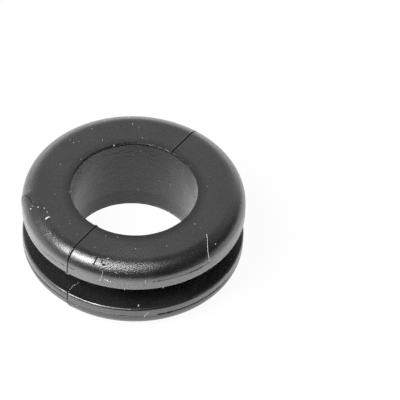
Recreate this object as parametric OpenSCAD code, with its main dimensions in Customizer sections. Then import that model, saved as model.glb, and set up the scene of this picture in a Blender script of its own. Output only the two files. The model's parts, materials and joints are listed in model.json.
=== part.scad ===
// Open rubber grommet: one moulded ring that snaps into a round panel hole and
// lines it for a cable. Seen in half section it is an H lying on its side, with a
// flange above and below the panel groove. It stands on its lower flange at z = 0.

/* [Flanges] */
// Overall diameter, across the straight bands of the rims
rim_d = 22; // [20:0.5:28]
// Thickness of each flange, from its outer face to the panel groove
flange_t = 2.75; // [2.3:0.05:4]
// Radius of the quarter round between a flange's outer face and its rim
dome_r = 1.75; // [0.8:0.05:2.3]
// Radius of the corner where a rim turns into the panel groove
lip_r = 0.2; // [0.05:0.05:0.4]

/* [Panel groove] */
// Diameter of the groove's floor, which is that of the panel hole
groove_d = 16; // [14:0.25:18]
// Width of the groove, which is the thickness of the panel
groove_w = 2.9; // [1:0.1:6]
// Fillet radius where the groove's floor meets its side walls
root_r = 0.3; // [0.1:0.05:0.45]

/* [Cable bore] */
// Diameter of the bore that the cable passes through
bore_d = 12.5; // [8:0.25:13]
// Radius of the rounded edge at each mouth of the bore
mouth_r = 0.15; // [0.05:0.05:0.5]

/* [Mould marks] */
// Step in radius where the mould plates meet, between rim band and quarter round
plate_step = 0.05; // [0:0.01:0.1]

/* [Hidden] */
$fn = 96;

rim_r = rim_d / 2;
groove_r = groove_d / 2;
bore_r = bore_d / 2;
height = 2 * flange_t + groove_w;

// The section is the same seen from either face: draws its children on the lower
// face, and again turned over on the upper one.
module on_both_faces() {
    children();
    translate([0, height]) mirror([0, 1]) children();
}

// The corner of a square outside its inscribed quarter circle: it rounds a corner
// where it is taken away, and makes a fillet where it is added.
module spandrel(r) {
    difference() {
        square(r);
        circle(r);
    }
}

// Half section of a flange, from the axis out, with its outer face on z = 0: the
// slice that the quarter round is taken from, and on it the slice with the rim band
module flange_section() {
    difference() {
        square([rim_r - plate_step, dome_r]);
        translate([rim_r - plate_step - dome_r, dome_r])
            mirror([0, 1]) spandrel(dome_r);
    }
    difference() {
        translate([0, dome_r]) square([rim_r, flange_t - dome_r]);
        translate([rim_r - lip_r, flange_t - lip_r]) spandrel(lip_r);
    }
}

// Fillet between the groove's floor and the flange next to it
module root_section() {
    translate([groove_r + root_r, flange_t + root_r]) rotate(180) spandrel(root_r);
}

// What is cut away to round one mouth of the bore
module mouth_section() {
    translate([bore_r + mouth_r, mouth_r]) rotate(180) spandrel(mouth_r);
}

module grommet() {
    color([0.06, 0.06, 0.065])
        rotate_extrude()
            difference() {
                union() {
                    square([groove_r, height]);
                    on_both_faces() {
                        flange_section();
                        root_section();
                    }
                }
                square([bore_r, height]);
                on_both_faces() mouth_section();
            }
}

grommet();
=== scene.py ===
import json
import math

import bpy
from mathutils import Matrix, Vector


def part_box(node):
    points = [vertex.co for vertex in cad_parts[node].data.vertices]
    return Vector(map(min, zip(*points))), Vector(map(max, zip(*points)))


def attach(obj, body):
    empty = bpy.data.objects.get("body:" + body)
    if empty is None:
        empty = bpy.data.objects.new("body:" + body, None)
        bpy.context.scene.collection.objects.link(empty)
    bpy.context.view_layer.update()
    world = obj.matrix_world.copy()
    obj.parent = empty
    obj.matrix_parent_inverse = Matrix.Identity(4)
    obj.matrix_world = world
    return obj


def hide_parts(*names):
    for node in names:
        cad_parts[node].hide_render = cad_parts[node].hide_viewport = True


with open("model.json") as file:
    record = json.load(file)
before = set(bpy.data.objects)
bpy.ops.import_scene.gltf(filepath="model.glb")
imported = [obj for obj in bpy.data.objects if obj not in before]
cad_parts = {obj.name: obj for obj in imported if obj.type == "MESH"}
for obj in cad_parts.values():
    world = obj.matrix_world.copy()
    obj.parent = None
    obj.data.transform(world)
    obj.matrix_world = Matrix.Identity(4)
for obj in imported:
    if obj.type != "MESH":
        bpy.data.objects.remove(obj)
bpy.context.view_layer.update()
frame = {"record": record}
mm = 0.001


# One node with its settings and its inputs, each a value or a socket to link. It gives back
# the asked output, so that calls can stand inside each other.
def add(tree, kind, inputs=None, output=0, **settings):
    node = tree.nodes.new(kind)
    for name, value in settings.items():
        setattr(node, name, value)
    for name, value in (inputs or {}).items():
        if isinstance(value, bpy.types.NodeSocket):
            tree.links.new(value, node.inputs[name])
        else:
            node.inputs[name].default_value = value
    return node.outputs[output] if node.outputs else node


# A formula written with sockets and numbers, such as ("MULTIPLY", a, ("SINE", b))
def formula(tree, term):
    if not isinstance(term, tuple):
        return term
    values = {i: formula(tree, part) for i, part in enumerate(term[1:])}
    return add(tree, "ShaderNodeMath", values, operation=term[0])


# Part of a formula: 0 at low, up to 1 at high
def ramp(value, low, high):
    return ("MINIMUM", 1.0, ("MAXIMUM", 0.0, ("DIVIDE", ("SUBTRACT", value, low), high - low)))


# Part of a formula: 1 on a line, fading out to both sides
def ridge(distance, width):
    return ("EXPONENT", ("MULTIPLY", -1.0, ("POWER", ("ABSOLUTE", ("DIVIDE", distance, width)), 2.0)))


# sRGB hex to the linear colour that Blender's sockets take
def linear(hexColour):
    channels = [int(hexColour[i:i + 2], 16) / 255 for i in (1, 3, 5)]
    return [c / 12.92 if c <= 0.04045 else ((c + 0.055) / 1.055) ** 2.4 for c in channels] + [1.0]


# A place in metres, from mm off the axis, degrees round it and mm above the floor
def polar(radius, azimuth, height):
    angle = math.radians(azimuth)
    return Vector((radius * math.cos(angle), radius * math.sin(angle), height)) * mm


# Unit vector toward an azimuth and an elevation in degrees
def toward(azimuth, elevation):
    rise = math.radians(elevation)
    return polar(math.cos(rise), azimuth, math.sin(rise)) / mm


def link(name, data):
    made = bpy.data.objects.new(name, data)
    bpy.context.scene.collection.objects.link(made)
    return made


# The camera
cameraSettings = {
    "lens": 630,            # mm on a 36 mm sensor: a long lens, nearly without perspective
    "distance": 0.698,      # m from the part's origin
    "elevation": 46.5,      # degrees above the floor
    "pan": -0.541,          # degrees off the part's origin, sideways
    "tilt": 0.408,          # and upward
    "roll": 1.58,
}


def placeCamera(settings):
    data = bpy.data.cameras.new("camera")
    data.lens = settings["lens"]
    data.sensor_width = 36
    data.clip_start, data.clip_end = 0.01, 50
    camera = link("camera", data)
    rise = math.radians(settings["elevation"])
    place = settings["distance"] * Vector((0, -math.cos(rise), math.sin(rise)))
    camera.matrix_world = (
        Matrix.Translation(place)
        @ Matrix.Rotation(math.pi / 2 - rise, 4, "X")
        @ Matrix.Rotation(math.radians(settings["pan"]), 4, "Y")
        @ Matrix.Rotation(math.radians(settings["tilt"]), 4, "X")
        @ Matrix.Rotation(math.radians(settings["roll"]), 4, "Z")
    )
    bpy.context.scene.camera = camera


placeCamera(cameraSettings)
print("camera placed")


# What a geometry tree starts from: bare edges along paths, each a list of points as (radius,
# azimuth, height). Each further column of numbers that a point has is kept under its label.
def drawPaths(name, paths, labels=()):
    points = [point for path in paths for point in path]
    ends = [sum(len(path) for path in paths[:i + 1]) - 1 for i in range(len(paths))]
    edges = [(i, i + 1) for i in range(len(points)) if i not in ends]
    mesh = bpy.data.meshes.new(name)
    mesh.from_pydata([polar(*point[:3]) for point in points], edges, [])
    for column, label in enumerate(labels, start=3):
        values = [point[column] for point in points]
        mesh.attributes.new(label, "FLOAT", "POINT").data.foreach_set("value", values)
    return link(name, mesh)


# A tree with a named input for each size
def newTree(name, sizes):
    tree = bpy.data.node_groups.new(name, "GeometryNodeTree")
    kinds = {int: "NodeSocketInt", float: "NodeSocketFloat", bpy.types.Object: "NodeSocketObject",
             bpy.types.Material: "NodeSocketMaterial"}
    tree.interface.new_socket("Geometry", in_out="INPUT", socket_type="NodeSocketGeometry")
    for label, value in sizes.items():
        tree.interface.new_socket(label, in_out="INPUT", socket_type=kinds[type(value)])
    tree.interface.new_socket("Geometry", in_out="OUTPUT", socket_type="NodeSocketGeometry")
    return tree, tree.nodes.new("NodeGroupInput").outputs


# Every tree ends in real faces that wear their material
def finishTree(tree, geometry, material):
    whole = add(tree, "GeometryNodeRealizeInstances", {"Geometry": geometry})
    dressed = add(tree, "GeometryNodeSetMaterial", {"Geometry": whole, "Material": material})
    tree.links.new(dressed, tree.nodes.new("NodeGroupOutput").inputs[0])


# Sets the modifier's inputs by their sockets' identifiers, evaluates it once and keeps the mesh
def grow(start, tree, sizes):
    modifier = start.modifiers.new(tree.name, "NODES")
    modifier.node_group = tree
    for item in tree.interface.items_tree:
        if item.in_out == "INPUT" and item.name in sizes:
            modifier[item.identifier] = sizes[item.name]
    start.update_tag()
    graph = bpy.context.evaluated_depsgraph_get()
    mesh = bpy.data.meshes.new_from_object(start.evaluated_get(graph), depsgraph=graph)
    start.modifiers.remove(modifier)
    name = start.name
    start.data.name = name + "Start"
    bpy.data.objects.remove(start)
    mesh.name = name
    print(name, "grown:", len(mesh.polygons), "faces")
    return link(name, mesh)


# The moulded ring. Its main sizes are those of the solid and of its mounts.
mounts = {mount["name"]: mount["dims"] for mount in frame["record"]["mounts"]}
ringLow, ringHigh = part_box("grommet")
ringSettings = {
    "section": {        # mm
        "rim": round(ringHigh.x / mm, 2),                   # radius of the rim bands
        "height": round(ringHigh.z / mm, 2),
        "bore": mounts["cable_bore"]["r_mm"],
        "neck": mounts["panel_groove"]["r_mm"],             # radius of the groove's floor
        "groove": mounts["panel_groove"]["length_mm"],      # width of the groove
        "dome": 1.75,           # quarter round between face and rim
        "lip": (0.125, 0.1),    # bevel between rim and groove, inward and along the rim
        "lipRound": (0.22, 0.1),        # fillets at its two edges
        "root": 0.3,            # fillet at the groove's floor
        "mouth": 0.085,         # edge of the bore
        "mouthRows": (0.2, 0.08, 0.04),     # rows of points in the bore, this far from that edge
        "boreDraft": (-0.12, 0.04),     # how much wider the bore is at its lower and upper mouth
        "upperRim": 0.08,       # how much wider the upper flange is
        "upperFlange": 0.08,    # and how much thicker, inside the groove
        "upperDome": 1.65,      # its quarter round
        "plateStep": 0.01,      # step where the mould plates meet
        "plateLine": 0.075,     # half width of the line at that step
        "plateGap": 0.005,      # between that line and the end of the quarter round
    },
    "sizes": {
        "Around": 620,                      # columns of faces round the ring
        "Finest Pitch": 0.2 * mm,           # along the outer skin of the section
        "Coarsest Pitch": 0.4 * mm,         # in the bore and the groove
        "Arc Pitch": 0.14 * mm,             # round a corner, for its radius
        "Split Angle": math.radians(235),   # where the mould's halves meet, and again across
        "Split Crowding": 0.8,              # how much closer the columns stand there
        "Split Depth": 0.13 * mm,
        "Split Width": 0.042 * mm,
        "Bead Offset": 0.13 * mm,           # of the low bead that runs beside the split
        "Bead Width": 0.06 * mm,
        "Bead Height": 0.015 * mm,
        "Flash Height": 0.03 * mm,          # of the split's flash inside the groove
        "Half Step": 0.09 * mm,             # by which one half stands back at the foot
        "Half Step Reach": 3.0 * mm,
        "Line Depth": 0.14 * mm,            # of the plate lines
        "Line Unevenness": 0.6,
        "Cut Depth": 0.008 * mm,
        "Cut Width": 0.08 * mm,
        "Mouth Raggedness": 0.05 * mm,
        "Waviness": 0.02 * mm,
        "Lean": 0.01,                       # of the upper face toward the back, per height
        "Pebble": 0.004 * mm,
        "Seed": 4.0,
    },
    # how uneven it is from place to place: mm across, and the noise's detail
    "unevenness": {"line": (1.2, 2), "mouth": (0.7, 3), "wave": (3, 1), "pebble": (0.4, 1)},
    # nibs of flash on the split line: radius and height, their size, and how far they stand out,
    # or in where that is negative, in mm
    "nibs": [
        (6.25, 8.3, 0.14, 0.2),
        (10.98, 5.66, 0.16, 0.2),
        (10.9, 1.0, 0.3, 0.05),
        (6.5, 8.4, 0.12, -0.06),
    ],
    "lineFade": 1.5,            # degrees to each side of a plate line's ends that it fades over
    # where the plate lines show: flange, azimuth and half width in degrees, and how deep
    "plateLines": [
        ("lower", 212, 22, 1.6),
        ("lower", 248, 12, 0.15),
        ("lower", 265.5, 1.5, 0.4),
        ("lower", 285.5, 1.3, 0.9),
        ("lower", 290.5, 2.5, 1.2),
        ("lower", 310, 17, 1.0),
        ("lower", 90, 100, 0.6),
        ("upper", 304, 4, 0.4),
        ("upper", 90, 65, 0.4),
    ],
    # cuts in the skin, and the mark of a fold: half widths in mm, and paths on the upper quarter
    # round as azimuths and slopes, which run from 90 degrees at the face to 0 at the rim
    "cuts": [
        (0.022, [(249.7, 70), (249.6, 58), (249.4, 49), (249.3, 41)]),
        (0.03, [(253.1, 63), (253.3, 57), (253.9, 53), (255.2, 51.5)]),
    ],
    "folds": [
        (0.055, [(182.5, 3), (183.8, 31), (184.5, 42)]),
        (0.045, [(184.5, 42), (187.8, 54), (191.2, 58)]),
        (0.03, [(191.2, 58), (193.7, 66), (195.4, 78)]),
    ],
    # the rubber swells along the fold's first stretch: half width and height in mm
    "swelling": (0.6, 0.1),
    # how far the painted reflection of the paper on the rim bands fades up the quarter round: mm inward
    # and along the axis
    "reflectionFade": (0.2, 0.7),
    "lowerReflection": 0.25,          # how much of that painted reflection the lower flange has
}


# Corners of the half section in mm, from the bore out to the rim and back to the groove. Each
# has a radius, a height and its roundness, and then how far it belongs to the outer skin (1
# there, 0 in the bore, -1 in the groove) and to a plate line.
def flangeCorners(s, bore, rim, dome, thickness):
    quarter = rim - s["plateStep"]
    line = s["plateLine"]
    bevelIn, bevelAlong = s["lip"]
    outerRound, innerRound = s["lipRound"]
    farRow, nearRow, markedRow = s["mouthRows"]
    seam = dome + line + s["plateGap"]
    return [
        (bore, s["mouth"] + farRow, 0, 0, 0),
        (bore, s["mouth"] + nearRow, 0, 0, 0),
        (bore, s["mouth"] + markedRow, 0, 0, 0.5),
        (bore, 0, s["mouth"], 1, 0),
        (bore + 1.3 * s["mouth"], 0, 0, 1, 0),      # just clear of the rounded mouth
        (quarter, 0, dome, 1, 0),
        (quarter, seam - line, 0, 1, 0),
        (quarter, seam - line / 2, 0, 1, 1),
        (rim, seam + line / 2, 0, 1, 1),
        (rim, seam + line, 0, 1, 0),
        (rim, thickness - bevelAlong, outerRound, 1, 0),
        (rim - bevelIn, thickness, innerRound, 1, 0),
        (rim - 2 * bevelIn, thickness, 0, -1, 0),
        (s["neck"], thickness, s["root"], -1, 0),
    ]


def sectionCorners(s):
    thickness = (s["height"] - s["groove"]) / 2
    lowDraft, highDraft = s["boreDraft"]
    lower = flangeCorners(s, s["bore"] + lowDraft, s["rim"], s["dome"], thickness)
    upper = flangeCorners(s, s["bore"] + highDraft, s["rim"] + s["upperRim"], s["upperDome"],
                          thickness + s["upperFlange"])
    return lower + [(r, s["height"] - z, *rest) for r, z, *rest in reversed(upper)]


def sectionOutline(section):
    corners = sectionCorners(section)
    outline = bpy.data.meshes.new("section")
    edges = [(i, (i + 1) % len(corners)) for i in range(len(corners))]
    outline.from_pydata([(r * mm, 0, z * mm) for r, z, *rest in corners], edges, [])
    for column, label in enumerate(("round", "skin", "plateLine"), start=2):
        values = [corner[column] * (mm if label == "round" else 1) for corner in corners]
        outline.attributes.new(label, "FLOAT", "POINT").data.foreach_set("value", values)
    return outline


# The section with rounded corners and rows close enough to carry the marks, swept round the
# axis in columns that crowd together at the split line. What a point came from stays on it.
def sweepSection(tree, size, known):
    curve = add(tree, "GeometryNodeMeshToCurve", {"Mesh": size["Geometry"]})
    arcPoints = formula(tree, ("ADD", ("DIVIDE", known["round"], size["Arc Pitch"]), 3.0))
    fillet = tree.nodes.new("GeometryNodeFilletCurve")
    fillet.mode = "POLY"
    for name, value in {"Curve": curve, "Count": arcPoints, "Radius": known["round"]}.items():
        tree.links.new(value, fillet.inputs[name])
    here = add(tree, "GeometryNodeInputPosition")
    index = add(tree, "GeometryNodeInputIndex")
    following = add(tree, "GeometryNodeOffsetPointInCurve", {"Point Index": index, "Offset": 1},
                    output=1)
    there = add(tree, "GeometryNodeFieldAtIndex", {"Value": here, "Index": following},
                data_type="FLOAT_VECTOR", domain="POINT")
    stretch = add(tree, "ShaderNodeVectorMath", {0: here, 1: there},
                  output="Value", operation="DISTANCE")
    pitch = add(tree, "ShaderNodeMapRange", {       # skin is 1 on the outer skin, and else 0 or -1
        "Value": known["skin"], "From Min": 0.5, "From Max": 0.6,
        "To Min": size["Coarsest Pitch"], "To Max": size["Finest Pitch"]})
    cuts = formula(tree, ("FLOOR", ("DIVIDE", stretch, pitch)))
    rows = add(tree, "GeometryNodeSubdivideCurve", {"Curve": fillet.outputs[0], "Cuts": cuts})
    along = add(tree, "GeometryNodeInputTangent")
    tangent = add(tree, "ShaderNodeSeparateXYZ", {0: along}).node.outputs
    outward = add(tree, "ShaderNodeCombineXYZ",
                  {"X": tangent["Z"], "Z": formula(tree, ("MULTIPLY", tangent["X"], -1.0))})
    for label, value in {"outward": outward, "section": here}.items():
        rows = add(tree, "GeometryNodeStoreNamedAttribute",
                   {"Geometry": rows, "Name": label, "Value": value}, data_type="FLOAT_VECTOR")

    turn = formula(tree, ("MULTIPLY", ("DIVIDE", index, size["Around"]), 2 * math.pi))
    crowding = ("SINE", ("MULTIPLY", ("SUBTRACT", turn, size["Split Angle"]), 2.0))
    shift = ("MULTIPLY", ("MULTIPLY", crowding, 0.5), size["Split Crowding"])
    angle = formula(tree, ("SUBTRACT", turn, shift))
    circle = add(tree, "GeometryNodeCurvePrimitiveCircle",
                 {"Resolution": size["Around"], "Radius": 1.0})
    circle = add(tree, "GeometryNodeStoreNamedAttribute",
                 {"Geometry": circle, "Name": "angle", "Value": angle}, data_type="FLOAT")
    skin = add(tree, "GeometryNodeCurveToMesh", {"Curve": circle, "Profile Curve": rows})
    skin = add(tree, "GeometryNodeFlipFaces", {"Mesh": skin})
    place, out = (
        add(tree, "ShaderNodeVectorRotate",
            {"Vector": known[label], "Axis": (0, 0, 1), "Angle": known["angle"]})
        for label in ("section", "outward"))
    return add(tree, "GeometryNodeSetPosition", {"Geometry": skin, "Position": place}), out


# A path on the upper quarter round, from azimuths and slopes to radii, azimuths and heights
def onDome(s, path):
    dome = s["upperDome"]
    middle = s["rim"] + s["upperRim"] - s["plateStep"] - dome
    return [(middle + dome * math.cos(math.radians(slope)), azimuth,
             s["height"] - dome + dome * math.sin(math.radians(slope))) for azimuth, slope in path]


def growRing(settings, material):
    section = settings["section"]
    swellWidth, swellHeight = settings["swelling"]
    sizes = {
        **settings["sizes"], "Material": material,
        "Cuts": drawPaths("cuts", [onDome(section, path) for width, path in settings["cuts"]]),
        "Swelling": drawPaths("swelling", [onDome(section, settings["folds"][0][1])])}
    tree, size = newTree("mouldedRing", sizes)
    kinds = {"round": "FLOAT", "skin": "FLOAT", "plateLine": "FLOAT", "angle": "FLOAT",
             "section": "FLOAT_VECTOR", "outward": "FLOAT_VECTOR"}
    known = {label: add(tree, "GeometryNodeInputNamedAttribute", {"Name": label}, data_type=kind)
             for label, kind in kinds.items()}
    skin, out = sweepSection(tree, size, known)

    # where a point is: across the split line, on which side, and on what part of the section
    here = add(tree, "GeometryNodeInputPosition")
    spot = add(tree, "ShaderNodeSeparateXYZ", {0: known["section"]}).node.outputs
    level = formula(tree, ("SUBTRACT", spot["Z"], section["height"] / 2 * mm))
    fromSplit = formula(tree, ("SUBTRACT", known["angle"], size["Split Angle"]))
    across = formula(tree, ("MULTIPLY", spot["X"], ("SINE", fromSplit)))
    frontHalf = ramp(("COSINE", fromSplit), -0.2, 0.2)
    outer = formula(tree, ramp(known["skin"], 0.0, 1.0))
    upper = formula(tree, ramp(level, -0.1 * mm, 0.1 * mm))
    lower = formula(tree, ("SUBTRACT", 1.0, upper))
    # 1 in the bore and fading over the first mm of the faces, or just past the rounded mouths
    inBore = formula(tree, ramp(spot["X"], (section["bore"] + 1) * mm, section["bore"] * mm))
    atMouth = ramp(spot["X"], (section["bore"] + 0.3) * mm, (section["bore"] + 0.1) * mm)
    split = formula(tree, ridge(across, size["Split Width"]))
    away = {}
    for label in ("Cuts", "Swelling"):
        path = add(tree, "GeometryNodeObjectInfo", {"Object": size[label]}, output="Geometry")
        away[label] = add(tree, "GeometryNodeProximity", {"Geometry": path},
                          output="Distance", target_element="EDGES")
    cut = formula(tree, ridge(away["Cuts"], size["Cut Width"]))

    rough = {}      # each from -0.5 to 0.5
    for name, (grain, detail) in settings["unevenness"].items():
        inputs = {"Vector": here, "W": size["Seed"], "Scale": 1 / (grain * mm), "Detail": detail}
        noise = add(tree, "ShaderNodeTexNoise", inputs, noise_dimensions="4D")
        rough[name] = ("SUBTRACT", noise, 0.5)

    lineDepth = inBore
    fade = settings["lineFade"]
    for flange, azimuth, halfWidth, depth in settings["plateLines"]:
        edges = [math.cos(math.radians(halfWidth + side)) for side in (fade, -fade)]
        sector = ramp(("COSINE", ("SUBTRACT", known["angle"], math.radians(azimuth))), *edges)
        onFlange = ("MULTIPLY", sector, upper if flange == "upper" else lower)
        lineDepth = ("ADD", lineDepth, ("MULTIPLY", onFlange, depth))
    uneven = ("ADD", 1.0, ("MULTIPLY", rough["line"], size["Line Unevenness"]))
    line = formula(tree, ("MULTIPLY", ("MULTIPLY", known["plateLine"], lineDepth), uneven))

    # how far each point is lifted off the plain section: where, and by how much
    foot = ramp(spot["Z"], (section["dome"] + 0.05) * mm, (section["dome"] - 0.1) * mm)
    besideSplit = ramp(across, 0.03 * mm, -0.03 * mm)
    halfStep = ("MULTIPLY", besideSplit, ridge(across, size["Half Step Reach"]))
    bead = ridge(("ADD", across, size["Bead Offset"]), size["Bead Width"])
    lifts = [
        (("MULTIPLY", split, outer), ("MULTIPLY", size["Split Depth"], -1.0)),
        (("MULTIPLY", split, ramp(known["skin"], 0.0, -1.0)), size["Flash Height"]),
        (("MULTIPLY", bead, outer), size["Bead Height"]),
        (("MULTIPLY", ("MULTIPLY", halfStep, foot), frontHalf),
         ("MULTIPLY", size["Half Step"], -1.0)),
        (line, ("MULTIPLY", size["Line Depth"], -1.0)),
        (cut, ("MULTIPLY", size["Cut Depth"], -1.0)),
        (ridge(away["Swelling"], swellWidth * mm), swellHeight * mm),
        (("MULTIPLY", ("MULTIPLY", atMouth, outer), rough["mouth"]), size["Mouth Raggedness"]),
        (rough["wave"], size["Waviness"]),
        (rough["pebble"], size["Pebble"]),
    ]
    for nibRadius, nibHeight, spread, stand in settings["nibs"]:
        centre = polar(nibRadius, math.degrees(settings["sizes"]["Split Angle"]), nibHeight)
        fromNib = add(tree, "ShaderNodeVectorMath", {0: here, 1: centre},
                      output="Value", operation="DISTANCE")
        lifts.append((ridge(fromNib, spread * mm), stand * mm))
    lift = 0.0
    for share, amount in lifts:
        lift = formula(tree, ("ADD", lift, ("MULTIPLY", share, amount)))
    leaning = formula(tree, ("MULTIPLY", spot["Z"], size["Lean"]))
    lean = add(tree, "ShaderNodeCombineXYZ", {"Y": leaning})
    offset = add(tree, "ShaderNodeVectorMath", {0: out, 1: lift, 2: lean}, operation="MULTIPLY_ADD")

    # what the finish needs to know: where gaps are, which get painted shade, where the mould was
    # textured, how far the rim bands' painted reflection reaches, and where the bore is
    lipEdge = (section["groove"] / 2 + section["lip"][1]) * mm
    pastLip = ramp(("ABSOLUTE", level), lipEdge, lipEdge + 0.1 * mm)
    rimward = ("SUBTRACT", spot["X"], ("MULTIPLY", upper, section["upperRim"] * mm))
    fadeInward, fadeAlong = settings["reflectionFade"]
    onRim = ramp(rimward, (section["rim"] - fadeInward) * mm, (section["rim"] - 0.02) * mm)
    lineLevel = (section["height"] / 2 - section["dome"]) * mm
    onBand = ramp(("ABSOLUTE", level), lineLevel + fadeAlong * mm, lineLevel)
    # the rim bands get a painted reflection of the white paper, with less of it on the lower flange
    lowerReflection = settings["lowerReflection"]
    reflectionShare = ("ADD", lowerReflection, ("MULTIPLY", upper, 1 - lowerReflection))
    finish = {
        "gap": ("MAXIMUM", ("MULTIPLY", split, outer), ("MAXIMUM", line, cut)),
        "textured": ("MAXIMUM", pastLip, inBore),
        "rimBand": ("MULTIPLY", onBand, ("MULTIPLY", ("MULTIPLY", onRim, outer), reflectionShare)),
        "bore": inBore,
    }
    for label, value in finish.items():
        skin = add(tree, "GeometryNodeStoreNamedAttribute",
                   {"Geometry": skin, "Name": label, "Value": formula(tree, value)}, data_type="FLOAT")
    skin = add(tree, "GeometryNodeStoreNamedAttribute",
               {"Geometry": skin, "Name": "plain", "Value": here}, data_type="FLOAT_VECTOR")
    skin = add(tree, "GeometryNodeSetPosition", {"Geometry": skin, "Offset": offset})
    for label in kinds:
        skin = add(tree, "GeometryNodeRemoveAttribute", {"Geometry": skin, "Name": label})
    skin = add(tree, "GeometryNodeSetShadeSmooth", {"Geometry": skin})
    finishTree(tree, skin, size["Material"])
    ring = grow(link("ring", sectionOutline(section)), tree, sizes)
    for label in ("Cuts", "Swelling"):
        bpy.data.objects.remove(sizes[label])
    return ring


rubberLook = {
    "colour": "#161416",
    "bloomColour": "#2D2B2D",   # where wax has come to the surface
    "paintedReflectionColour": "#727073",    # pale grey painted reflection of the white paper on the rim bands
    "paintedShadeColour": "#0A0A0A",     # painted shade in a gap or a mark
    # the gloss left in that painted shade
    "paintedShadeGloss": "#202020",
    "roughness": (0.25, 0.33),
    "boreRoughness": -0.14,     # less than that in the bore, which the core pin left smoother
    "boreGloss": "#8E8E8E",     # how much of the straight-on gloss is left there
    "sheen": 0.1,               # a faint glow at a grazing angle
    "boreSheen": 0.3,           # and how much more of it the bore has
    "coat": 0.5,                # weight of the skin off the mould, as a thin coat
    "coatWear": (0.2, 0.38, 0.4),       # how much of it is gone: in the bore, at the foot, at most
    "foot": (1.9, 1.6),         # mm above the floor, where that wear begins and is full
    "footGloss": 0.4,           # how far the gloss goes there toward that of the bore
    # Relief, as mm across and mm high. The real texture is finer: the grain and the scuffs are
    # drawn as coarse as they need to be to show.
    "grain": (0.085, 0.021),
    "orangePeel": (0.5, 0.008),
    # marks of the turned mould: mm across, and mm high in the bore and on the rims
    "turning": (0.14, 0.04, 0.035),
    "scuffGrain": 0.12,         # mm across
    # patches of coarser grain: middle, reach in mm and mm high
    "scuffs": [((10.6, 267, 7.6), 4.2, 0.027), ((10.3, 210, 8.1), 1.7, 0.021)],
    "patch": 3.5,               # mm across, patches where the bloom or the grain is stronger
    "markDepth": 0.008,         # mm, of the marks and rim lines
    "markWobble": (0.6, 0.05),  # how far they stray from their paths: mm across and mm aside
    "rimLineFade": 0.3,         # degrees to each side of a rim line's ends that it fades over
    # thin lines round the rims, grooved and darkened with painted shade: azimuth and half width in
    # degrees, radius, height and half width in mm
    "rimLines": [
        (224, 10.5, 11, 2.5, 0.04),
        (213, 20, 11, 1.79, 0.09),
        (261.6, 0.7, 11, 1.8, 0.04),
        (267, 1.4, 11, 1.92, 0.03),
        (273, 4, 11, 1.79, 0.03),
        (280, 43, 10.99, 2.61, 0.035),
        (287, 17, 10.94, 2.7, 0.06),
        (286, 1.7, 11, 1.82, 0.12),
        (290.3, 1.7, 11, 1.82, 0.16),
        (311, 20, 11, 1.83, 0.08),
        (217, 5, 11.08, 6.2, 0.022),
        (222.5, 6, 11.08, 6.3, 0.025),
        (218, 6, 11.08, 6.5, 0.02),
        (229, 5, 11.08, 6.5, 0.025),
        (231.9, 0.8, 11.08, 6.55, 0.06),
        (237.6, 1.8, 11.08, 6.62, 0.05),
        (281.4, 0.5, 11.07, 6.68, 0.08),
        (284, 0.9, 11.07, 6.67, 0.085),
        (299, 15, 11.07, 6.69, 0.045),
    ],
}


# Part of a formula: distance to a path of straight stretches
def awayFrom(tree, place, path):
    nearest = 1.0
    points = [polar(*point) for point in path]
    for start, end in zip(points, points[1:]):
        stretch = end - start
        offset = add(tree, "ShaderNodeVectorMath", {0: place, 1: start}, operation="SUBTRACT")
        share = add(tree, "ShaderNodeVectorMath", {0: offset, 1: stretch / stretch.length_squared},
                    output="Value", operation="DOT_PRODUCT")
        share = formula(tree, ramp(share, 0.0, 1.0))
        foot = add(tree, "ShaderNodeVectorMath", {0: stretch, "Scale": share}, operation="SCALE")
        away = add(tree, "ShaderNodeVectorMath", {0: offset, 1: foot},
                   output="Value", operation="DISTANCE")
        nearest = ("MINIMUM", nearest, away)
    return formula(tree, nearest)


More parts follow.
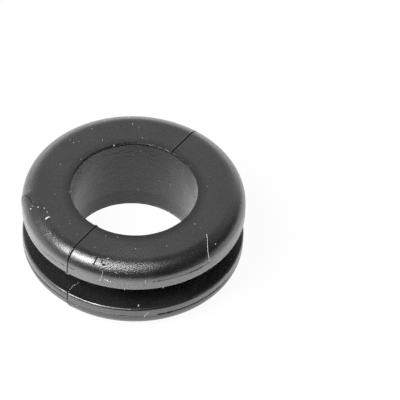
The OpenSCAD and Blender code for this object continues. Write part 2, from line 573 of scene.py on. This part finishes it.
# Black nitrile rubber, compression moulded: nearly black inside, with a satin skin whose fine
# grain breaks a highlight up and whose waxy bloom greys the flat faces.
def mouldedRubber(look, marks):
    material = bpy.data.materials.new("mouldedBlackRubber")
    material.use_nodes = True
    tree = material.node_tree
    tree.nodes.clear()
    place = add(tree, "ShaderNodeTexCoord", output="Object")
    known = {label: add(tree, "ShaderNodeAttribute", {}, output="Fac", attribute_name=label)
             for label in ("gap", "textured", "rimBand", "bore")}
    grainSize, grainHeight = look["grain"]
    peelSize, peelHeight = look["orangePeel"]
    wobbleSize, wobbleReach = look["markWobble"]
    patterns = {    # mm across, and the noise's detail
        "grain": (grainSize, 3),
        "peel": (peelSize, 1),
        "sheen": (grainSize * 3, 2),
        "patch": (look["patch"], 3),
        "bloom": (look["patch"], 4),
        "speckle": (grainSize * 1.5, 2),
        "wobble": (wobbleSize, 1),
    }
    noise = {}
    for seed, (name, (across, detail)) in enumerate(patterns.items()):
        inputs = {"Vector": place, "W": float(seed), "Scale": 1 / (across * mm), "Detail": detail}
        noise[name] = add(tree, "ShaderNodeTexNoise", inputs, noise_dimensions="4D")

    plain = add(tree, "ShaderNodeAttribute", {}, output="Vector", attribute_name="plain")
    spot = add(tree, "ShaderNodeSeparateXYZ", {0: plain}).node.outputs
    around = formula(tree, ("ARCTAN2", spot["Y"], spot["X"]))
    fromAxis = formula(tree, ("SQRT", ("ADD", ("POWER", spot["X"], 2.0), ("POWER", spot["Y"], 2.0))))
    turningSize, boreTurning, rimTurning = look["turning"]
    drawnOut = add(tree, "ShaderNodeCombineXYZ", {      # round the axis, as turning marks are
        "X": fromAxis, "Y": formula(tree, ("MULTIPLY", around, 2 * mm)), "Z": spot["Z"]})
    scale = 1 / (turningSize * mm)
    turned = add(tree, "ShaderNodeTexNoise", {"Vector": drawnOut, "Scale": scale, "Detail": 2})
    turnedHeight = ("ADD", ("MULTIPLY", known["bore"], boreTurning),
                    ("MULTIPLY", ramp(known["rimBand"], 0.0, 0.2), rimTurning))
    cells = add(tree, "ShaderNodeTexVoronoi", {"Vector": place, "Scale": 1 / (look["scuffGrain"] * mm)})

    # the relief in mm: fine grain, orange peel, and scuffed patches of coarser grain
    scuffed = 0.0
    for middle, reach, height in look["scuffs"]:
        away = add(tree, "ShaderNodeVectorMath", {0: place, 1: polar(*middle)},
                   output="Value", operation="DISTANCE")
        scuffed = ("ADD", scuffed, ("MULTIPLY", ramp(away, reach * mm, reach * 0.6 * mm), height))
    patchy = ("ADD", 0.5, ("MULTIPLY", ramp(noise["patch"], 0.3, 0.6), 0.5))
    grained = ("MULTIPLY", patchy, grainHeight)
    relief = ("ADD", ("MULTIPLY", noise["grain"], grained), ("MULTIPLY", cells, scuffed))
    relief = ("ADD", relief, ("MULTIPLY", noise["peel"], peelHeight))
    relief = ("ADD", ("MULTIPLY", relief, known["textured"]), ("MULTIPLY", turned, turnedHeight))

    # the marks, as grooves in that relief
    wobble = add(tree, "ShaderNodeVectorMath",
                 {0: noise["wobble"].node.outputs["Color"], 1: (0.5, 0.5, 0.5)}, operation="SUBTRACT")
    wobbly = add(tree, "ShaderNodeVectorMath", {0: wobble, 1: (wobbleReach * mm,) * 3, 2: plain},
                 operation="MULTIPLY_ADD")
    mark = 0.0
    fade = look["rimLineFade"]
    for width, path in marks:
        mark = formula(tree, ("MAXIMUM", mark, ridge(awayFrom(tree, wobbly, path), width * mm)))
    for azimuth, halfWidth, radius, height, width in look["rimLines"]:
        edges = [math.cos(math.radians(halfWidth + side)) for side in (fade, -fade)]
        sector = ramp(("COSINE", ("SUBTRACT", around, math.radians(azimuth))), *edges)
        out = ("ABSOLUTE", ("SUBTRACT", fromAxis, radius * mm))
        up = ("ABSOLUTE", ("SUBTRACT", spot["Z"], height * mm))
        away = ("SQRT", ("ADD", ("POWER", out, 2.0), ("POWER", up, 2.0)))
        mark = formula(tree, ("MAXIMUM", mark, ("MULTIPLY", sector, ridge(away, width * mm))))
    relief = formula(tree, ("SUBTRACT", relief, ("MULTIPLY", mark, look["markDepth"])))
    normal = add(tree, "ShaderNodeBump", {"Height": relief, "Distance": mm}, output="Normal")

    # colour and gloss, each over what comes before it
    # painted shade: gaps, cuts, the fold and the rim lines get a dark colour, less gloss and less coat,
    # standing in for the shade in them
    paintedShade = formula(tree, ("MAXIMUM", mark, ramp(known["gap"], 0.2, 0.7)))
    bloom = formula(tree, ("ADD", ("MULTIPLY", ramp(noise["bloom"], 0.35, 0.65), 0.4),
                           ("MULTIPLY", ramp(noise["speckle"], 0.4, 0.65), 0.6)))
    atFoot = ramp(spot["Z"], *(height * mm for height in look["foot"]))
    smoother = formula(tree, ("MAXIMUM", known["bore"], ("MULTIPLY", atFoot, look["footGloss"])))
    colour = linear(look["colour"])
    # random bloom, then the rim bands' painted reflection of the paper, then the painted shade
    for amount, over in ((bloom, "bloomColour"), (known["rimBand"], "paintedReflectionColour"), (paintedShade, "paintedShadeColour")):
        colour = add(tree, "ShaderNodeMix", {"Factor": amount, "A": colour, "B": linear(look[over])},
                     output="Result", data_type="RGBA")
    gloss = linear("#FFFFFF")
    for amount, over in ((smoother, "boreGloss"), (paintedShade, "paintedShadeGloss")):
        gloss = add(tree, "ShaderNodeMix", {"Factor": amount, "A": gloss, "B": linear(look[over])},
                    output="Result", data_type="RGBA")
    smooth, dull = look["roughness"]
    roughness = ("ADD", smooth, ("MULTIPLY", ramp(noise["sheen"], 0.3, 0.7), dull - smooth))
    roughness = ("ADD", roughness, ("MULTIPLY", known["bore"], look["boreRoughness"]))
    boreWear, footWear, mostWear = look["coatWear"]
    worn = ("ADD", ("MULTIPLY", known["bore"], boreWear), ("MULTIPLY", atFoot, footWear))
    coat = ("SUBTRACT", look["coat"], ("MINIMUM", worn, mostWear))
    sheen = ("ADD", look["sheen"], ("MULTIPLY", known["bore"], look["boreSheen"]))
    shader = add(tree, "ShaderNodeBsdfPrincipled", {
        "Base Color": colour,
        "Roughness": formula(tree, roughness),
        "IOR": 1.6,
        "Specular IOR Level": 1.0,
        "Specular Tint": gloss,
        "Coat Weight": formula(tree, ("MULTIPLY", coat, ("SUBTRACT", 1.0, paintedShade))),
        "Coat Roughness": 0.2,
        "Coat IOR": 1.5,
        "Normal": normal,
        "Coat Normal": normal,
        "Sheen Weight": formula(tree, sheen),
        "Sheen Roughness": 0.4,
    })
    add(tree, "ShaderNodeOutputMaterial", {"Surface": shader})
    return material


marks = [(width, onDome(ringSettings["section"], path))
         for width, path in ringSettings["cuts"] + ringSettings["folds"]]
ring = growRing(ringSettings, mouldedRubber(rubberLook, marks))
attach(ring, "root")
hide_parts("grommet")


# Dust and lint that cling to the ring
fluffLook = {
    "colour": "#F2F1F0",
    "clotColour": "#C4C3C2",
    "clots": 0.3,               # mm across
}


# Matt off-white: cotton fluff and paper dust scatter nearly all the light that falls on them
def cottonFluff(look):
    material = bpy.data.materials.new("cottonFluff")
    material.use_nodes = True
    tree = material.node_tree
    tree.nodes.clear()
    place = add(tree, "ShaderNodeTexCoord", output="Object")
    scale = 1 / (look["clots"] * mm)
    clots = add(tree, "ShaderNodeTexNoise", {"Vector": place, "Scale": scale, "Detail": 2})
    clotted = formula(tree, ramp(clots, 0.4, 0.7))
    shade = add(tree, "ShaderNodeMix",
                {"Factor": clotted, "A": linear(look["colour"]), "B": linear(look["clotColour"])},
                output="Result", data_type="RGBA")
    shader = add(tree, "ShaderNodeBsdfPrincipled",
                 {"Base Color": shade, "Roughness": 0.9, "IOR": 1.46, "Sheen Weight": 0.3})
    add(tree, "ShaderNodeOutputMaterial", {"Surface": shader})
    return material


dustSettings = {
    "sizes": {
        "Speck Radius": 0.09 * mm,          # of a placed speck of size 1
        "Scatter Density": 0.16 / mm ** 2,  # specks that fell anywhere
        "Smallest": 0.15, "Largest": 0.4,   # size of those
        "Seed": 11,
    },
    "squash": ((0.6, 0.6, 0.4), (1.3, 1.0, 0.8)),       # least and most, along each axis
    # specks that stand out: radius, azimuth, height and size
    "specks": [
        (10.24, 193.8, 8.14, 0.9), (10.45, 194.8, 7.98, 1.2), (9.8, 196.3, 8.33, 1.4),
        (9.26, 198.2, 8.4, 1.1), (9.14, 201.8, 8.4, 1.0), (6.35, 185.4, 8.4, 0.8),
        (7.82, 186.9, 8.4, 0.6), (7.73, 216, 8.4, 0.6), (10.31, 182.1, 8.09, 0.7),
        (6.64, 143.5, 8.4, 0.8), (8.74, 134.5, 8.4, 0.8), (9.28, 134.7, 8.4, 0.7),
        (9.34, 117.9, 8.4, 0.8), (7.45, 116.1, 8.4, 0.8), (6.32, 109.2, 8.38, 1.2),
        (10.16, 94.3, 8.1, 1.0), (9.07, 92.2, 8.4, 1.0), (8.56, 87.8, 8.4, 0.7),
        (7.18, 84.6, 8.4, 0.7), (6.25, 85.2, 7.4, 0.8), (6.73, 257.2, 8.4, 0.7),
        (6.97, 247.8, 8.4, 0.7), (8.08, 272.1, 8.4, 0.9), (8.29, 294, 8.4, 0.8),
        (7.54, 323.6, 8.4, 0.8), (10.46, 320.7, 7.87, 0.9), (10.43, 274.2, 2.75, 1.8),
        (10.95, 256.2, 6.7, 1.0), (10.96, 257.8, 6.65, 1.3), (11, 259.2, 6.51, 1.0),
        (11, 268.2, 6.51, 0.9), (11, 231.3, 6.33, 0.8), (10.95, 240.9, 1.66, 0.9),
        (10.11, 220.8, 8.15, 0.9), (10.18, 223.5, 8.1, 0.8), (10.08, 217, 8.16, 0.8),
        (11.08, 240.4, 6.62, 0.9), (11.08, 241, 6.14, 0.8), (10.79, 267.3, 7.67, 0.7),
        (10.74, 266.5, 7.75, 0.6), (10.66, 256.2, 7.84, 1.0), (10.6, 256.8, 7.92, 0.6),
    ],
}


def settleDust(settings, ring, material):
    sizes = {**settings["sizes"], "Ring": ring, "Material": material}
    tree, size = newTree("settledDust", sizes)
    skin = add(tree, "GeometryNodeObjectInfo", {"Object": size["Ring"]}, output="Geometry")
    placed = add(tree, "GeometryNodeMeshToPoints", {"Mesh": size["Geometry"], "Radius": 0.0})
    facing = add(tree, "GeometryNodeInputNormal")
    up = add(tree, "ShaderNodeSeparateXYZ", {0: facing}).node.outputs["Z"]
    textured = add(tree, "GeometryNodeInputNamedAttribute", {"Name": "textured"}, data_type="FLOAT")
    # specks fall on what faces up or nearly so, outside the groove
    onTop = formula(tree, ("MULTIPLY", ("GREATER_THAN", up, -0.3), ("GREATER_THAN", textured, 0.5)))
    fallen = add(tree, "GeometryNodeDistributePointsOnFaces", {
        "Mesh": skin, "Seed": size["Seed"], "Selection": onTop,
        "Density": size["Scatter Density"]})
    chance = add(tree, "FunctionNodeRandomValue",
                 {"Min": size["Smallest"], "Max": size["Largest"], "Seed": size["Seed"]}, output=1)
    fallen = add(tree, "GeometryNodeStoreNamedAttribute",
                 {"Geometry": fallen, "Name": "size", "Value": chance}, data_type="FLOAT")
    points = tree.nodes.new("GeometryNodeJoinGeometry")
    for source in (placed, fallen):
        tree.links.new(source, points.inputs[0])
    onSkin = add(tree, "GeometryNodeProximity", {"Geometry": skin},
                 output="Position", target_element="FACES")
    points = add(tree, "GeometryNodeSetPosition", {"Geometry": points.outputs[0], "Position": onSkin})
    speck = add(tree, "GeometryNodeMeshIcoSphere", {"Radius": size["Speck Radius"], "Subdivisions": 2})
    fullTurn = (6.28, 6.28, 6.28)
    turn, squash = (
        add(tree, "FunctionNodeRandomValue", {"Min": least, "Max": most, "Seed": seed},
            data_type="FLOAT_VECTOR")
        for seed, (least, most) in enumerate((((0, 0, 0), fullTurn), settings["squash"]), start=2))
    grownBy = add(tree, "GeometryNodeInputNamedAttribute", {"Name": "size"}, data_type="FLOAT")
    scale = add(tree, "ShaderNodeVectorMath", {0: squash, "Scale": grownBy}, operation="SCALE")
    specks = add(tree, "GeometryNodeInstanceOnPoints",
                 {"Points": points, "Instance": speck, "Rotation": turn, "Scale": scale})
    finishTree(tree, specks, size["Material"])
    return grow(drawPaths("dust", [[speck] for speck in settings["specks"]], ("size",)), tree, sizes)


lintSettings = {
    "sizes": {
        "Fineness": 0.06 * mm,      # pitch of a fibre's points
        "Crinkle": 0.03 * mm,
        "Seed": 5.0,
    },
    "crinklePitch": 0.5,        # mm
    "axisHeight": 0.4,          # of a fibre that lies on the skin, in thicknesses
    # fibres, as points of radius, azimuth, height, thickness and how far they stand off the
    # rubber in mm. Most are drawn about twice as thick as a real fibre, so that they show.
    "fibres": [
        [(9.7, 207, 8.37, 0.15, 0), (9.46, 206.8, 8.4, 0.17, 0), (9.22, 206.6, 8.4, 0.16, 0)],
        [(9.29, 321, 8.4, 0.04, 0), (9.71, 318.9, 8.37, 0.035, 0.01), (10.14, 316.5, 8.24, 0.04, 0.02),
         (10.49, 314.8, 8.01, 0.035, 0.02), (10.82, 313.7, 7.62, 0.04, 0.02),
         (11.06, 313.2, 6.92, 0.04, 0.02)],
        [(10.68, 254.4, 7.6, 0.02, 0), (10.77, 254.6, 7.43, 0.03, 0.01), (10.9, 254.6, 7.05, 0.03, 0.01),
         (10.97, 254.1, 6.7, 0.035, 0.02), (11, 253.4, 6.36, 0.045, 0.01)],
        [(10.5, 234.3, 2.75, 0.025, 0), (10.2, 234.6, 2.75, 0.03, 0), (9.9, 234.1, 2.75, 0.03, 0),
         (9.55, 234.9, 2.75, 0.025, 0), (9.05, 235.1, 2.75, 0.015, 0)],
        [(10.95, 276.9, 1.63, 0.035, 0), (11, 277.8, 2.03, 0.035, 0.02), (11, 279.1, 2.3, 0.035, 0)],
        [(10.97, 266.4, 5.8, 0.05, 0.01), (10.93, 266.5, 5.7, 0.05, 0.06)],
        [(10.97, 286.3, 5.8, 0.05, 0.01), (10.93, 286.2, 5.7, 0.04, 0.06)],
        [(10.98, 256, 6.68, 0.02, 0), (10.99, 257.2, 6.62, 0.05, 0), (11, 258.2, 6.58, 0.07, 0),
         (11, 259.4, 6.52, 0.03, 0)],
        [(10.76, 261, 7.71, 0.04, 0), (10.82, 262.4, 7.62, 0.06, 0)],
        [(9.8, 255, 8.35, 0.04, 0), (9.72, 256.4, 8.37, 0.05, 0)],
        [(10.92, 277.1, 7, 0.025, 0), (10.98, 277, 6.7, 0.03, 0), (11, 277.3, 6.42, 0.03, 0)],
    ],
}


def layLint(settings, ring, material):
    sizes = {**settings["sizes"], "Ring": ring, "Material": material}
    tree, size = newTree("clingingLint", sizes)
    known = {label: add(tree, "GeometryNodeInputNamedAttribute", {"Name": label}, data_type="FLOAT")
             for label in ("thickness", "standOff")}
    skin = add(tree, "GeometryNodeObjectInfo", {"Object": size["Ring"]}, output="Geometry")
    fibres = add(tree, "GeometryNodeMeshToCurve", {"Mesh": size["Geometry"]})
    fibres = add(tree, "GeometryNodeCurveSplineType", {"Curve": fibres}, spline_type="CATMULL_ROM")
    fibres = add(tree, "GeometryNodeResampleCurve", {"Curve": fibres, "Length": size["Fineness"]},
                 mode="LENGTH")
    here = add(tree, "GeometryNodeInputPosition")
    scale = 1 / (settings["crinklePitch"] * mm)
    curl = add(tree, "ShaderNodeTexNoise", {"Vector": here, "W": size["Seed"], "Scale": scale},
               output="Color", noise_dimensions="4D")
    curl = add(tree, "ShaderNodeVectorMath", {0: curl, 1: (0.5, 0.5, 0.5)}, operation="SUBTRACT")
    curl = add(tree, "ShaderNodeVectorMath", {0: curl, "Scale": size["Crinkle"]}, operation="SCALE")
    fibres = add(tree, "GeometryNodeSetPosition", {"Geometry": fibres, "Offset": curl})
    onSkin = add(tree, "GeometryNodeProximity", {"Geometry": skin},
                 output="Position", target_element="FACES")
    facing = add(tree, "GeometryNodeInputNormal")
    outward = add(tree, "GeometryNodeSampleNearestSurface",
                  {"Mesh": skin, "Value": facing, "Sample Position": here}, data_type="FLOAT_VECTOR")
    axisHeight = ("ADD", known["standOff"], ("MULTIPLY", known["thickness"], settings["axisHeight"]))
    away = formula(tree, ("MULTIPLY", mm, axisHeight))
    proud = add(tree, "ShaderNodeVectorMath", {0: outward, "Scale": away}, operation="SCALE")
    fibres = add(tree, "GeometryNodeSetPosition",
                 {"Geometry": fibres, "Position": onSkin, "Offset": proud})
    # a circle 1 mm across, which each point's thickness scales
    profile = add(tree, "GeometryNodeCurvePrimitiveCircle", {"Resolution": 8, "Radius": 0.5 * mm})
    body = add(tree, "GeometryNodeCurveToMesh", {
        "Curve": fibres, "Profile Curve": profile, "Scale": known["thickness"], "Fill Caps": True})
    finishTree(tree, body, size["Material"])
    return grow(drawPaths("lint", settings["fibres"], ("thickness", "standOff")), tree, sizes)


fluff = cottonFluff(fluffLook)
for piece in (settleDust(dustSettings, ring, fluff), layLint(lintSettings, ring, fluff)):
    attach(piece, "root")


# The paper that the ring lies on, and the light
sheet = {
    "left": -400, "right": 400, "back": 800,    # mm from the part's axis
    "front": -25,                               # the near edge, just out of view
    "colour": "#FAFAFA",
    "glow": (0.95, 0.72),   # share of plain white in what the camera and reflections see of it
}


# Uncoated white paper: matt, so it keeps the ring's shadow and shows no shine of its own. Seen
# straight on or in the rubber's gloss it is nearly plain white.
def layFloor(sheet):
    mesh = bpy.data.meshes.new("floor")
    corners = [("left", "front"), ("right", "front"), ("right", "back"), ("left", "back")]
    mesh.from_pydata([(sheet[x] * mm, sheet[y] * mm, 0) for x, y in corners], [], [(0, 1, 2, 3)])
    floor = link("floor", mesh)
    material = bpy.data.materials.new("whitePaper")
    material.use_nodes = True
    tree = material.node_tree
    tree.nodes.clear()
    rays = add(tree, "ShaderNodeLightPath").node.outputs
    direct, reflected = sheet["glow"]
    seen = formula(tree, ("ADD", ("MULTIPLY", rays["Is Camera Ray"], direct),
                          ("MULTIPLY", rays["Is Glossy Ray"], reflected)))
    matt = add(tree, "ShaderNodeBsdfDiffuse", {"Color": linear(sheet["colour"])})
    white = add(tree, "ShaderNodeEmission", {"Strength": 1.0})
    add(tree, "ShaderNodeOutputMaterial",
        {"Surface": add(tree, "ShaderNodeMixShader", {0: seen, 1: matt, 2: white})})
    mesh.materials.append(material)


room = {
    "brightSide": (132, 22),    # azimuth and elevation of the room's bright side
    "bright": 0.56,
    "dark": 0.03,               # opposite it
    "ceiling": 0.04,            # how much of that is left overhead
    "backdrop": 3,              # how much brighter the lit backdrop is, low down behind the part
    # where each of them fades, as cosines off the bright side and as sines of elevation
    "sideEdges": (-0.55, 0.7),
    "ceilingEdges": (0.76, 0.88),
    "backdropEdges": ((0.6, 0.9), (0.5, 0.1)),      # how far back, and how low
}


def makeWorld(room):
    world = bpy.data.worlds.new("studio")
    bpy.context.scene.world = world
    world.use_nodes = True
    tree = world.node_tree
    tree.nodes.clear()
    direction = add(tree, "ShaderNodeTexCoord")
    facing = add(tree, "ShaderNodeVectorMath", {0: direction, 1: toward(*room["brightSide"])},
                 output="Value", operation="DOT_PRODUCT")
    seen = add(tree, "ShaderNodeSeparateXYZ", {0: direction}).node.outputs
    side, overhead = (
        add(tree, "ShaderNodeMapRange",
            {"Value": value, "From Min": start, "From Max": end, "To Min": first, "To Max": last},
            interpolation_type="SMOOTHSTEP")
        for value, (start, end), first, last in (
            (facing, room["sideEdges"], room["dark"], room["bright"]),
            (seen["Z"], room["ceilingEdges"], 1.0, room["ceiling"])))
    farEdges, lowEdges = room["backdropEdges"]
    onBackdrop = ("MULTIPLY", ramp(seen["Y"], *farEdges), ramp(seen["Z"], *lowEdges))
    lit = ("ADD", 1.0, ("MULTIPLY", onBackdrop, room["backdrop"]))
    studio = add(tree, "ShaderNodeBackground", {
        "Strength": formula(tree, ("MULTIPLY", ("MULTIPLY", side, overhead), lit))})
    # what is seen past the paper's edges, in the node's own light grey
    seenRoom = add(tree, "ShaderNodeBackground", {"Strength": 1.0})
    camera = add(tree, "ShaderNodeLightPath", output="Is Camera Ray")
    add(tree, "ShaderNodeOutputWorld",
        {"Surface": add(tree, "ShaderNodeMixShader", {0: camera, 1: studio, 2: seenRoom})})


softboxes = {       # azimuths and elevations in degrees, distances and sizes in m
    "keySoftbox": {
        "azimuth": 211, "elevation": 48, "distance": 0.6, "size": (0.27, 0.36), "watts": 3.15},
    "fillSoftbox": {
        "azimuth": 250, "elevation": 62, "distance": 0.6, "size": (0.36, 0.31), "watts": 1.65},
}


def makeSoftbox(name, azimuth, elevation, distance, size, watts):
    data = bpy.data.lights.new(name, "AREA")
    data.shape = "RECTANGLE"
    data.size, data.size_y = size
    data.energy = watts
    lamp = link(name, data)
    back = toward(azimuth, elevation)
    turned = back.to_track_quat("Z", "Y").to_matrix().to_4x4()
    lamp.matrix_world = Matrix.Translation(back * distance) @ turned
    lamp.visible_camera = False


layFloor(sheet)
makeWorld(room)
for name, settings in softboxes.items():
    makeSoftbox(name, **settings)
bpy.context.scene.view_settings.view_transform = "Standard"
print("floor and lights set")
